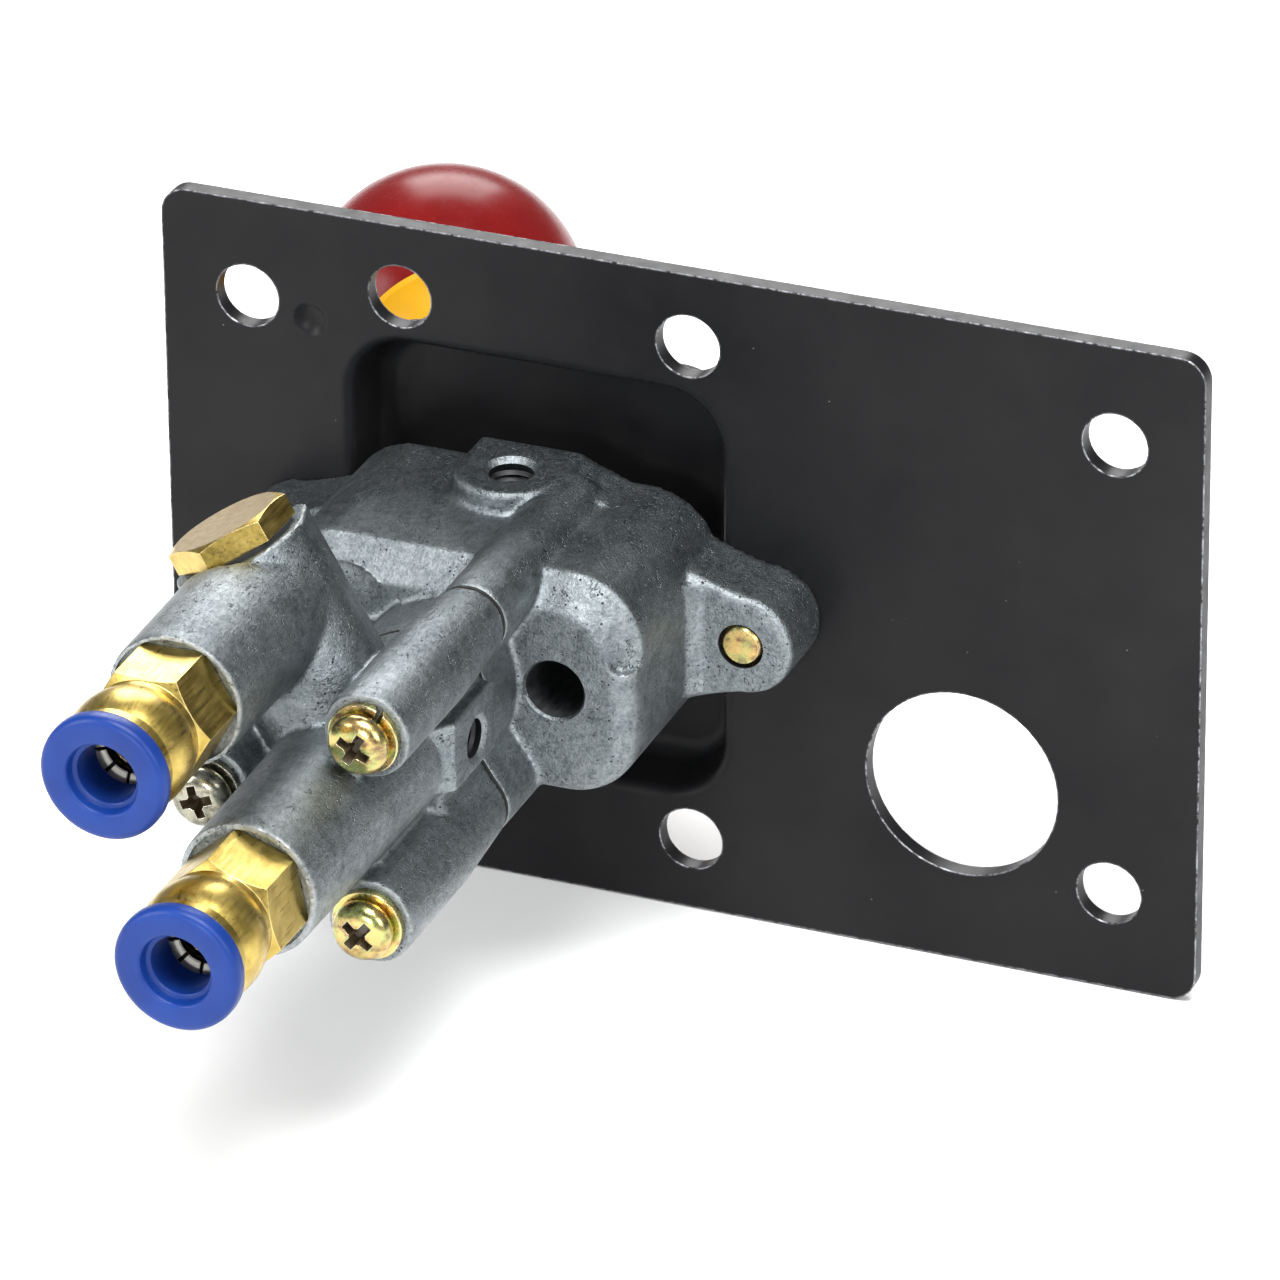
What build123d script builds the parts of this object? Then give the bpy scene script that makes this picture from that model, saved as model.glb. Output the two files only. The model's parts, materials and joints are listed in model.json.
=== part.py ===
from build123d import *
import math
import os

# Power take-off control valve on its mounting plate, in millimetres.
# The plate stands upright: X runs along its length, Z is up, and +Y points to the rear,
# where the two tube fittings are. The lever and its ball knob are on the -Y side.
# The origin is the centre of the four corner bolts, on the rear face of the plate.

# Mounting plate
plate_length = 120.0
plate_height = 77.0
plate_thickness = 2.0
pocket_wall = 1.6
plate_corner_radius = 3.0
corner_bolt_spacing_x = 100.0
corner_bolt_spacing_z = 54.0
middle_bolt_spacing_z = 60.0
middle_bolt_x = -1.5
side_hole_x = 32.0
panel_hole_diameter = 7.3
pilot_hole_diameter = 22.0
pilot_hole_x = -33.0
pilot_hole_z = -17.0
dimple_x = 42.6
dimple_z = 25.4
dimple_sphere_radius = 3.2
dimple_depth = 0.7
ear_hole_play = 0.15

# Pocket drawn in the plate towards the front, under the valve
valve_axis_x = 16.4
pocket_width = 43.6
pocket_height = 49.2
pocket_depth = 6.5
pocket_corner_radius = 7.0
pocket_draft = 14.0
pocket_rim_bend = 1.4
pocket_floor_bend = 2.2
lever_slot_length = 22.5
lever_slot_width = 8.6

# Valve body: a die casting with two ears, seen from the rear with lx to the right and ly up
block_width = 43.0
block_height = 25.4
block_corner_radius = 8.0
block_depth = 25.5
block_edge_radius = 2.6
block_chamfer = 3.4
chamfer_foot = 3.0
port_lobe_radius = 7.5
ear_spacing = 54.8
ear_radius = 5.8
ear_thickness = 9.0
ear_edge_radius = 0.8
ear_foot_drop = 0.6
ear_waist_out = 1.6
ear_waist_up = 1.2
split_depth = 33.0
gasket_thickness = 0.5

# Lobed outline shared by the rear of the body, the gasket and the cap
screw_circle_radius = 12.7
screw_angles = (60.0, 180.0, 300.0)
column_radius = 4.1
flank_distance = 8.4
flank_notch_distance = 7.4
flank_notch_height = 5.2
flank_notch_round = 0.8
flank_notch_reach = 9.6
gasket_inset = 0.1

# Ports on the body
vent_boss_radius = 6.2
vent_boss_edge = 0.6
vent_shoulder_reach = 13.0
vent_shoulder_drop = 3.1
vent_port_height = 15.2
vent_port_depth = 6.6
vent_thread_radius = 2.5
vent_thread_length = 6.0
vent_drill_radius = 1.5
vent_rim_chamfer = 0.5
rear_port_offset = 12.6
rear_port_radius = 3.35
rear_port_length = 11.0
side_recess_radius = 10.4
side_recess_depth = 1.6

# Rear cap
cap_base_depth = 11.0
stem_guide_length = 3.5
cap_edge_radius = 1.0
cap_column_radius = 4.8
column_end = 60.8
left_column_setback = 2.2
column_web_width = 4.6
column_web_end = 57.0
supply_boss_radius = 7.7
supply_boss_end = 77.3
cross_boss_angle = 120.0
cross_boss_radius = 7.6
cross_boss_corner_radius = 2.6
cross_boss_corner_side = 2.9
cross_boss_corner_drop = 5.9
cross_axis_depth = 48.0
cross_boss_reach = 26.6
delivery_boss_radius = 7.5
delivery_offset = 20.1
delivery_boss_end = 72.0
boss_draft = 0.6
mouth_recess_depth = 0.6
mouth_recess_play = 0.06
plug_spotface_radius = 7.5
pad_height = 8.0
pad_rise = 0.6
pad_face = 9.2
pad_hole_setback = 4.9
pad_reach = 8.9
pad_chamfer = 3.0
pad_hole_radius = 2.2
pad_hole_end = 5.9

# Passages
thread_bore_radius = 5.0
thread_bore_length = 10.0
valve_chamber_radius = 4.7
seat_web = 1.6
seat_hole_radius = 2.9
seat_lip_height = 0.6
seat_lip_width = 0.5
delivery_chamber_radius = 4.5
delivery_chamber_length = 6.8
cross_bore_radius = 2.4
plug_bore_radius = 5.0
plug_bore_length = 6.5
spring_chamber_radius = 6.5
spring_chamber_start = 22.0

# Lever and its cam
pivot_depth = 3.0
pivot_pin_radius = 2.0
pivot_pin_top = 7.5
pivot_clearance = 0.05
pin_end_gap = 0.2
pin_chamfer = 0.3
pin_press_gap = 0.01
lever_tilt = 30.4
lever_length = 68.2
lever_rod_radius = 3.0
cam_thickness = 7.0
cam_base_radius = 6.5
cam_dwell = 14.0
cam_side_clearance = 0.35
cam_cavity_half_width = 10.6
cam_cavity_depth = 13.6
cam_cavity_corner = 5.0
hub_neck_radius = 3.45
hub_neck_length = 12.0
rod_root = 5.0
rod_end_gap = 0.25
screwed_fit = 0.05
ball_radius = 16.5
ball_hole_depth = 12.0
ferrule_radius = 4.4
ferrule_length = 3.0
ferrule_overlap = 1.5

# Yellow lock collar on the lever
collar_lift = 3.0
collar_bore_clearance = 0.09
collar_dish_radius = 20.0
collar_rim_depth = 15.7
collar_rim_radius = 13.3
collar_rim_thickness = 1.4
collar_neck_radius = 5.8
collar_neck_flare = 0.5
collar_flare_share = 0.68
collar_dish_share = 0.7
collar_bottom = 38.0
collar_flange_root = 21.5
collar_stop_radius = 4.6
collar_stop_length = 3.0
collar_stop_chamfer = 0.4
collar_stop_gap = 0.05
collar_spring_pocket_radius = 4.9
collar_spring_floor = 30.0
lock_spring_wire = 0.7
lock_spring_mean_radius = 4.05
lock_spring_turns = 4

# Plunger, moved by the cam
plunger_stroke = 3.2
cam_gap = 0.35
plunger_radius = 4.0
plunger_fit = 0.06
nose_radius = 2.5
nose_neck_length = 1.5
flange_start = 23.0
flange_thickness = 2.0
flange_radius = 6.0
stem_radius = 2.5
tip_radius = 2.1
tip_setback = 1.1
tip_gap = 0.02
exhaust_bore_radius = 1.2
exhaust_bore_setback = 1.7
exhaust_cross_radius = 0.9
exhaust_cross_setback = 2.7
seal_section = 0.9
seal_play = 0.03
body_seal_depth = 18.0
return_spring_wire = 1.0
return_spring_mean_radius = 4.6
return_spring_turns = 4

# Inlet poppet
poppet_travel = 2.0
seat_gap = 0.04
poppet_radius = 4.1
poppet_face_thickness = 1.4
poppet_face_inset = 0.2
poppet_body_length = 4.2
poppet_shoulder = 1.6
poppet_flute_radius = 1.5
poppet_flute_offset = 0.6
poppet_guide_radius = 2.0
poppet_guide_length = 3.0
poppet_spring_wire = 0.6
poppet_spring_mean_radius = 2.9
poppet_spring_turns = 4

# Push-in tube fittings, measured from the end of their boss
hex_across_flats = 12.1
hex_length = 8.0
hex_sink = 0.5
hex_chamfer_height = 1.1
hex_chamfer_reach = 1.3
hex_chamfer_play = 0.1
supply_hex_turn = 41.0
delivery_hex_turn = 61.6
thread_shank_radius = 4.92
thread_shank_length = 8.6
shoulder_radius = 6.7
shoulder_waist_radius = 6.0
shoulder_neck_length = 0.6
shoulder_lip_radius = 6.1
shoulder_lip_length = 1.2
shoulder_end = 15.1
collar_face = 18.1
collar_flange_thickness = 2.2
collar_flange_radius = 7.0
collar_flange_round = 0.8
collar_flange_edge = 0.5
collar_press = 0.8
tube_radius = 3.3
collar_lead_radius = 3.9
collar_lead_depth = 0.8
collar_sleeve_radius = 4.7
collar_sleeve_length = 3.7
collar_sleeve_fit = 0.08
gripper_radius = 5.4
gripper_tip_radius = 3.15
gripper_play = 0.05
gripper_thickness = 0.45
gripper_teeth = 10
gripper_room = 0.4
gripper_slot_width = 0.5
gripper_slot_length = 1.6
tube_seal_section = 1.0
tube_stop_depth = 0.5
flow_bore_radius = 2.2

# Hexagon plug in the cross boss
plug_across_flats = 12.0
plug_head_length = 2.7
plug_chamfer_radius = 5.95
plug_chamfer_reach = 3.0
plug_chamfer_height = 1.3
plug_shank_length = 6.0
plug_seal_radius = 6.4
plug_seal_thickness = 0.5

# Screws
cap_screw_radius = 2.0
cap_screw_hole_radius = 2.2
cap_screw_tip = 24.0
cap_screw_hole_end = 21.0
cap_screw_head_radius = 3.6
cap_screw_head_length = 2.6
lock_washer_radius = 3.5
lock_washer_thickness = 0.9
lock_washer_gap = 0.7
lock_washer_slant = 35.0
ear_screw_radius = 2.5
ear_screw_hole_radius = 2.6
ear_screw_head_radius = 4.2
ear_screw_head_length = 3.0
ear_screw_tip_chamfer = 0.5
cross_recess_width = 1.1
cross_recess_length = 4.2
cross_recess_depth = 1.3
pan_head_roundness = 0.45

# Depths and radii that follow from the sizes above
cap_start = split_depth + gasket_thickness
pad_end = cap_start + pad_hole_setback + pad_reach
delivery_chamber_start = cross_axis_depth - delivery_chamber_length / 2
delivery_chamber_end = cross_axis_depth + delivery_chamber_length / 2
seat_face_depth = delivery_chamber_end + seat_web
cap_chamber_end = delivery_chamber_start - stem_guide_length
tip_start = delivery_chamber_start + tip_setback
nose_depth = pivot_depth + cam_base_radius + cam_gap
tip_end = seat_face_depth + seat_gap + poppet_travel - plunger_stroke - tip_gap
sleeve_end = collar_face - collar_flange_thickness - collar_sleeve_length
sleeve_floor = sleeve_end - collar_press - gripper_room
spring_seat = ball_radius + ferrule_length - ferrule_overlap
hex_corner_radius = hex_across_flats / 2 / math.cos(math.radians(30))

# The plate's rear view, and the same view with its origin on the valve's axis
plate_frame = Plane(origin=(0, 0, 0), x_dir=(-1, 0, 0), z_dir=(0, 1, 0)).location
valve_frame = Plane(origin=(valve_axis_x, 0, 0), x_dir=(-1, 0, 0), z_dir=(0, 1, 0)).location


def rod(radius, start, end, x=0.0, y=0.0):
    """Round bar along the frame's z from start to end."""
    return Pos(x, y, start) * Cylinder(radius, end - start, align=(Align.CENTER, Align.CENTER, Align.MIN))


def tube(outer, inner, start, end, x=0.0, y=0.0):
    return rod(outer, start, end, x, y) - rod(inner, start, end, x, y)


def cone(start_radius, end_radius, start, end, x=0.0, y=0.0):
    upright = (Align.CENTER, Align.CENTER, Align.MIN)
    return Pos(x, y, start) * Cone(start_radius, end_radius, end - start, align=upright)


def around(radius, angle):
    """Point at a radius and an angle round the valve's axis, as seen from the rear."""
    return radius * math.cos(math.radians(angle)), radius * math.sin(math.radians(angle))


def prism(sketch, start, end):
    return extrude(Pos(0, 0, start) * sketch, end - start)


def ring_seal(mean_radius, section_radius, depth):
    return Pos(0, 0, depth) * Torus(mean_radius, section_radius)


def coil_spring(mean_radius, wire, start, end, turns):
    """Compression spring with its wire's centre running from start to end."""
    pitch = (end - start) / turns
    path = Pos(0, 0, start) * Helix(pitch, end - start, mean_radius)
    section = Plane(origin=path @ 0, z_dir=path % 0) * Circle(wire / 2)
    return sweep(section, path=path, is_frenet=True)


def cross_recess(face_depth, into):
    """Cross of a Phillips screw, cut from the head's face in the direction into."""
    arm = Box(cross_recess_length, cross_recess_width, cross_recess_depth)
    arms = arm + Rot(0, 0, 90) * arm
    return Pos(0, 0, face_depth + into * cross_recess_depth / 2) * arms


def pan_head(radius, height):
    """Pan head standing on z = 0, domed at its top."""
    head = rod(radius, 0, height)
    return fillet(head.edges().sort_by(Axis.Z)[-1:], height * pan_head_roundness)


def lobed_outline(inset=0.0):
    """Three screw lobes joined by flanks, each a slightly bowed middle between two notches."""
    lobe = Vector(*around(screw_circle_radius, -60.0))
    notch = Vector(flank_notch_distance - inset, -flank_notch_height)
    radius = column_radius - inset
    to_notch = notch - lobe
    turn = math.atan2(to_notch.Y, to_notch.X) - math.acos(radius / to_notch.length)
    meet = lobe + Vector(radius * math.cos(turn), radius * math.sin(turn))
    away = -2 * math.pi / 3 - turn
    leave = lobe + Vector(radius * math.cos(away), radius * math.sin(away))
    third = [
        ThreePointArc((notch.X, -notch.Y), (flank_distance - inset, 0), (notch.X, notch.Y)),
        Line((notch.X, notch.Y), (meet.X, meet.Y)),
        ThreePointArc((meet.X, meet.Y), around(screw_circle_radius + radius, -60.0), (leave.X, leave.Y)),
        Rot(0, 0, -120) * Line((meet.X, -meet.Y), (notch.X, -notch.Y)),
    ]
    outline = make_face(Curve() + [Rot(0, 0, 120 * i) * edge for i in range(3) for edge in third])
    notches = outline.vertices().filter_by(lambda v: Vector(v.X, v.Y).length < flank_notch_reach)
    return fillet(notches, flank_notch_round)


def on_screws(piece, drop=0.0):
    """The same piece at each of the three cap screws, the one on the left set back by drop."""
    placed = []
    for angle in screw_angles:
        setback = drop if angle == 180.0 else 0.0
        placed.append(Pos(*around(screw_circle_radius, angle), -setback) * piece)
    return placed


# Mounting plate with its drawn pocket
def mounting_plate():
    blank = RectangleRounded(plate_length, plate_height, plate_corner_radius)
    plate = prism(blank, -plate_thickness, 0)
    wall = plate_thickness
    outer = RectangleRounded(pocket_width + 2 * pocket_wall, pocket_height + 2 * pocket_wall,
                             pocket_corner_radius + pocket_wall)
    inner = RectangleRounded(pocket_width, pocket_height, pocket_corner_radius)
    at_valve = Pos(-valve_axis_x, 0, 0)
    shell = at_valve * extrude(outer, -(pocket_depth + wall), taper=pocket_draft)
    hollow = at_valve * extrude(inner, -pocket_depth, taper=pocket_draft)
    plate = plate + shell - hollow
    floor = plate.edges().filter_by_position(Axis.Z, -pocket_depth - 0.01, -pocket_depth + 0.01)
    plate = fillet(floor, pocket_floor_bend)
    nose = plate.edges().filter_by_position(Axis.Z, -pocket_depth - wall - 0.01, -pocket_depth - wall + 0.01)
    plate = fillet(nose, pocket_floor_bend + wall)
    rim = plate.edges().filter_by_position(Axis.Z, -0.01, 0.01)
    pocket_reach = math.hypot(pocket_width, pocket_height) / 2 + pocket_wall
    rim = rim.filter_by(lambda e: (e.center() - Vector(-valve_axis_x, 0, 0)).length < pocket_reach)
    plate = fillet(rim, pocket_rim_bend)
    slot = at_valve * SlotOverall(lever_slot_length, lever_slot_width)
    plate -= prism(slot, -pocket_depth - wall - 1, 0)
    dimple_centre = dimple_sphere_radius - dimple_depth
    press = Pos(-dimple_x, dimple_z, dimple_centre) * Sphere(dimple_sphere_radius)
    bump = Pos(-dimple_x, dimple_z, dimple_centre) * Sphere(dimple_sphere_radius + wall)
    bump &= rod(dimple_sphere_radius + wall, -2 * wall, -wall, -dimple_x, dimple_z)
    plate = plate + bump - press
    hole = rod(panel_hole_diameter / 2, -wall, 0)
    half_x = corner_bolt_spacing_x / 2
    half_z = corner_bolt_spacing_z / 2
    half_middle = middle_bolt_spacing_z / 2
    places = [(x, z) for x in (-half_x, half_x) for z in (-half_z, half_z)]
    places += [(-middle_bolt_x, half_middle), (-middle_bolt_x, -half_middle), (-side_hole_x, half_middle)]
    for x, z in places:
        plate -= Pos(x, z, 0) * hole
    plate -= rod(pilot_hole_diameter / 2, -wall, 0, -pilot_hole_x, pilot_hole_z)
    for side in (-1, 1):
        plate -= rod(ear_screw_hole_radius + ear_hole_play, -wall, 0, -valve_axis_x + side * ear_spacing / 2, 0)
    return plate_frame * plate


# Valve body
def block_profile():
    return RectangleRounded(block_width, block_height, block_corner_radius)


def block():
    """Block with a wide chamfer round the upper part of its rear face and a lobe at the rear port."""
    profile = block_profile()
    chamfer_start = block_depth - block_chamfer
    bevelled = prism(profile, 0, chamfer_start)
    bevelled += extrude(Pos(0, 0, chamfer_start) * profile, block_chamfer, taper=45)
    rounded = prism(profile, 0, block_depth)
    rounded = fillet(rounded.edges().group_by(Axis.Z)[-1], block_edge_radius)
    upper_half = Box(2 * block_width, block_height, 2 * block_depth)
    above = Pos(0, chamfer_foot + block_height / 2, block_depth / 2) * upper_half
    above -= rod(port_lobe_radius, -block_depth, 2 * block_depth, rear_port_offset, 0)
    return (bevelled & above) + (rounded - above)


def ear_profile():
    """Round ears whose flanks flare into the corners of the block."""
    foot = (block_width / 2 - block_corner_radius, block_height / 2 - ear_foot_drop)
    waist = (block_width / 2 + ear_waist_out, ear_radius + ear_waist_up)
    tip = ear_spacing / 2
    ears = Rectangle(2 * foot[0], 2 * foot[1])
    for side in (-1, 1):
        upper = Spline((side * foot[0], foot[1]), (side * waist[0], waist[1]), (side * tip, ear_radius))
        end = Line((side * tip, ear_radius), (side * tip, -ear_radius))
        lower = Spline((side * tip, -ear_radius), (side * waist[0], -waist[1]), (side * foot[0], -foot[1]))
        back = Line((side * foot[0], -foot[1]), (side * foot[0], foot[1]))
        ears += make_face(Curve() + [upper, end, lower, back])
        ears += Pos(side * tip, 0) * Circle(ear_radius)
    return ears


def cam_cavity():
    """Slot for the lever's cam, open to the front."""
    half_height = cam_thickness / 2 + cam_side_clearance
    wide = Box(2 * cam_cavity_half_width, 2 * half_height, cam_cavity_depth + 1)
    slot = Pos(0, 0, (cam_cavity_depth - 1) / 2) * wide
    return fillet(slot.edges().filter_by(Axis.Y).group_by(Axis.Z)[-1], cam_cavity_corner)


def vent_boss():
    """Flat-topped boss of the vent port, blended forward to the plate side of the block."""
    foot = Pos(0, vent_port_depth) * Circle(vent_boss_radius)
    foot += Pos(0, vent_port_depth / 2) * Rectangle(2 * vent_boss_radius, vent_port_depth)
    standing = Plane(origin=(0, 0, 0), x_dir=(-1, 0, 0), z_dir=(0, 1, 0))
    boss = extrude(standing * foot, vent_port_height)
    boss = fillet(boss.edges().group_by(Axis.Y)[-1], vent_boss_edge)
    low = vent_port_height - vent_shoulder_drop
    high = vent_port_height - vent_boss_edge / 2
    crest = vent_boss_radius - vent_boss_edge
    shoulder = Polyline((0, 0), (vent_shoulder_reach, 0), (vent_shoulder_reach, low),
                        (crest, high), (0, high), (0, 0))
    return boss + prism(make_face(shoulder), 0, vent_port_depth)


def valve_body():
    ears = prism(ear_profile(), 0, ear_thickness)
    ears = fillet(ears.edges().group_by(Axis.Z)[-1], ear_edge_radius)
    body = block() + ears
    recess = rod(side_recess_radius, block_depth - side_recess_depth, block_depth + 1, -screw_circle_radius, 0)
    body -= recess
    for column in on_screws(rod(column_radius, ear_thickness / 2, split_depth)):
        body += column
    body += prism(lobed_outline(), cam_cavity_depth, split_depth)
    body += vent_boss()
    body -= cam_cavity()
    body -= rod(plunger_radius + plunger_fit, cam_cavity_depth - 1, spring_chamber_start + 1)
    body -= rod(spring_chamber_radius, spring_chamber_start, split_depth)
    screw_hole = rod(cap_screw_radius + screwed_fit, cap_screw_hole_end, split_depth)
    for hole in on_screws(screw_hole):
        body -= hole
    body -= rod(rear_port_radius, block_depth - rear_port_length, block_depth + 1, rear_port_offset, 0)
    for side in (-1, 1):
        body -= rod(ear_screw_hole_radius, 0, ear_thickness, side * ear_spacing / 2, 0)
    upright = Rot(-90, 0, 0)
    vent_start = cam_thickness / 2
    vent = rod(vent_thread_radius, vent_port_height - vent_thread_length, vent_port_height + 1)
    vent += rod(vent_drill_radius, vent_start, vent_port_height)
    vent += cone(vent_thread_radius, vent_thread_radius + vent_rim_chamfer,
                 vent_port_height - vent_rim_chamfer, vent_port_height)
    body -= Pos(0, 0, vent_port_depth) * upright * vent
    pin_hole = rod(pivot_pin_radius, -block_height, pivot_pin_top)
    body -= Pos(0, 0, pivot_depth) * upright * pin_hole
    return valve_frame * body


def pivot_pin():
    pin = rod(pivot_pin_radius - pin_press_gap, -block_height / 2 + pin_end_gap, pivot_pin_top - pin_end_gap)
    pin = chamfer(pin.edges().group_by(Axis.Z)[0] + pin.edges().group_by(Axis.Z)[-1], pin_chamfer)
    return valve_frame * Pos(0, 0, pivot_depth) * Rot(-90, 0, 0) * pin


# Gasket and rear cap
def cap_gasket():
    gasket = prism(lobed_outline(inset=gasket_inset), split_depth, split_depth + gasket_thickness)
    gasket -= rod(spring_chamber_radius, split_depth, split_depth + gasket_thickness)
    for hole in on_screws(rod(cap_screw_hole_radius, split_depth, split_depth + gasket_thickness)):
        gasket -= hole
    return valve_frame * gasket


def mouth(end):
    """Thread bore and the shallow recess that takes the fitting's hexagon, along z."""
    recess = rod(hex_corner_radius + mouth_recess_play, end - mouth_recess_depth, end)
    return rod(thread_bore_radius, end - thread_bore_length, end) + recess


def cross_boss():
    """Boss across the cap: round to the rear, with flat flanks closing in on the plate side."""
    profile = Circle(cross_boss_radius)
    for side in (-1, 1):
        profile += Pos(side * cross_boss_corner_side, -cross_boss_corner_drop) * Circle(cross_boss_corner_radius)
    profile = make_hull(profile.edges())
    sideways = (*around(1.0, cross_boss_angle + 90.0), 0)
    outward = (*around(1.0, cross_boss_angle), 0)
    frame = Plane(origin=(0, 0, cross_axis_depth), x_dir=sideways, z_dir=outward)
    return extrude(frame * profile, cross_boss_reach)


def side_pad():
    """Pad on the right flank with a tapped hole."""
    length = pad_end - cap_start
    outline = Rectangle(pad_height, length)
    face = Plane(origin=(0, pad_rise, (cap_start + pad_end) / 2), x_dir=(0, 1, 0), z_dir=(1, 0, 0))
    pad = extrude(face * outline, pad_face)
    pad = chamfer(pad.edges().filter_by(Axis.Y).group_by(Axis.Z)[-1].sort_by(Axis.X)[-1:], pad_chamfer)
    return pad


def rear_cap():
    base_start = cap_start
    base_end = base_start + cap_base_depth
    cap = prism(lobed_outline(), base_start, base_end)
    cap = fillet(cap.edges().group_by(Axis.Z)[-1], cap_edge_radius)
    for column in on_screws(rod(cap_column_radius, base_end, column_end), left_column_setback):
        cap += column
    for foot in on_screws(cone(column_radius, cap_column_radius, base_start, base_end)):
        cap += foot
    for angle in screw_angles:
        x, y = around(screw_circle_radius, angle)
        web = Pos(x / 2, y / 2) * Rot(0, 0, angle) * Rectangle(screw_circle_radius, column_web_width)
        cap += prism(web, base_start, column_web_end)
    cap += cone(supply_boss_radius + boss_draft, supply_boss_radius, base_start, supply_boss_end)
    cap += cross_boss()
    delivery_x, delivery_y = around(delivery_offset, cross_boss_angle)
    cap += cone(delivery_boss_radius + boss_draft / 2, delivery_boss_radius, cross_axis_depth, delivery_boss_end,
                delivery_x, delivery_y)
    cap += side_pad()
    cap -= rod(spring_chamber_radius, base_start, cap_chamber_end)
    cap -= rod(stem_radius + plunger_fit, cap_chamber_end - 1, delivery_chamber_start + 1)
    cap -= rod(delivery_chamber_radius, delivery_chamber_start, delivery_chamber_end)
    cap -= rod(seat_hole_radius, delivery_chamber_end - 1, seat_face_depth + 1)
    lip_floor = seat_face_depth - seat_lip_height
    cap -= rod(valve_chamber_radius, seat_face_depth, supply_boss_end)
    cap -= tube(valve_chamber_radius, seat_hole_radius + seat_lip_width, lip_floor, seat_face_depth)
    cap -= mouth(supply_boss_end)
    cap -= Pos(delivery_x, delivery_y, 0) * mouth(delivery_boss_end)
    cap -= rod(cross_bore_radius, cross_axis_depth, delivery_boss_end, delivery_x, delivery_y)
    outward = Pos(0, 0, cross_axis_depth) * Rot(0, 0, cross_boss_angle) * Rot(0, 90, 0)
    cap -= outward * rod(cross_bore_radius, 0, cross_boss_reach)
    cap -= outward * rod(plug_bore_radius, cross_boss_reach - plug_bore_length, cross_boss_reach + 1)
    cap -= outward * rod(plug_spotface_radius, cross_boss_reach, cross_boss_reach + 3)
    pad_hole = rod(pad_hole_radius, pad_hole_end, pad_face + 1)
    cap -= Pos(0, 0, cap_start + pad_hole_setback) * Rot(0, 90, 0) * pad_hole
    for hole in on_screws(rod(cap_screw_hole_radius, base_start, column_end)):
        cap -= hole
    return valve_frame * cap


# Screws that hold the cap
def cap_screws():
    under_head = column_end + lock_washer_thickness
    screw = rod(cap_screw_radius, cap_screw_tip, under_head)
    head = pan_head(cap_screw_head_radius, cap_screw_head_length)
    screw += Pos(0, 0, under_head) * head
    screw -= cross_recess(under_head + cap_screw_head_length, -1)
    return valve_frame * Compound(on_screws(screw, left_column_setback))


def cap_lock_washers():
    washer = tube(lock_washer_radius, cap_screw_hole_radius, column_end, column_end + lock_washer_thickness)
    slit = Box(2 * lock_washer_radius, lock_washer_gap, 3 * lock_washer_thickness)
    slit = Pos(lock_washer_radius + cap_screw_radius / 2, 0, column_end) * Rot(lock_washer_slant, 0, 0) * slit
    return valve_frame * Compound(on_screws(washer - slit, left_column_setback))


def ear_screws():
    head_top = -plate_thickness - ear_screw_head_length
    head = Rot(180, 0, 0) * pan_head(ear_screw_head_radius, ear_screw_head_length)
    screw = rod(ear_screw_radius, -plate_thickness, ear_thickness)
    screw = chamfer(screw.edges().group_by(Axis.Z)[-1], ear_screw_tip_chamfer)
    screw += Pos(0, 0, -plate_thickness) * head
    screw -= cross_recess(head_top, 1)
    return valve_frame * Compound([Pos(side * ear_spacing / 2, 0, 0) * screw for side in (-1, 1)])


# Hexagon plug and its sealing ring, along the cross boss
def outward_frame():
    return valve_frame * Pos(0, 0, cross_axis_depth) * Rot(0, 0, cross_boss_angle) * Rot(0, 90, 0)


def hex_plug():
    seat = cross_boss_reach + plug_seal_thickness
    top = seat + plug_head_length
    head = prism(RegularPolygon(plug_across_flats / 2, 6, major_radius=False), seat, top)
    crown = cone(plug_chamfer_radius + plug_chamfer_reach, plug_chamfer_radius, top - plug_chamfer_height, top)
    crown += rod(plug_chamfer_radius + plug_chamfer_reach, seat, top - plug_chamfer_height)
    head = head & crown
    shank = rod(plug_bore_radius - screwed_fit, seat - plug_seal_thickness - plug_shank_length, seat)
    return outward_frame() * (head + shank)


def plug_seal():
    ring = tube(plug_seal_radius, plug_bore_radius, cross_boss_reach, cross_boss_reach + plug_seal_thickness)
    return outward_frame() * ring


# Push-in fittings
def fitting_frames():
    """Place and hexagon turn of both fittings."""
    supply = valve_frame * Pos(0, 0, supply_boss_end)
    delivery = valve_frame * Pos(*around(delivery_offset, cross_boss_angle), delivery_boss_end)
    return {"supply": (supply, supply_hex_turn), "delivery": (delivery, delivery_hex_turn)}


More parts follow.
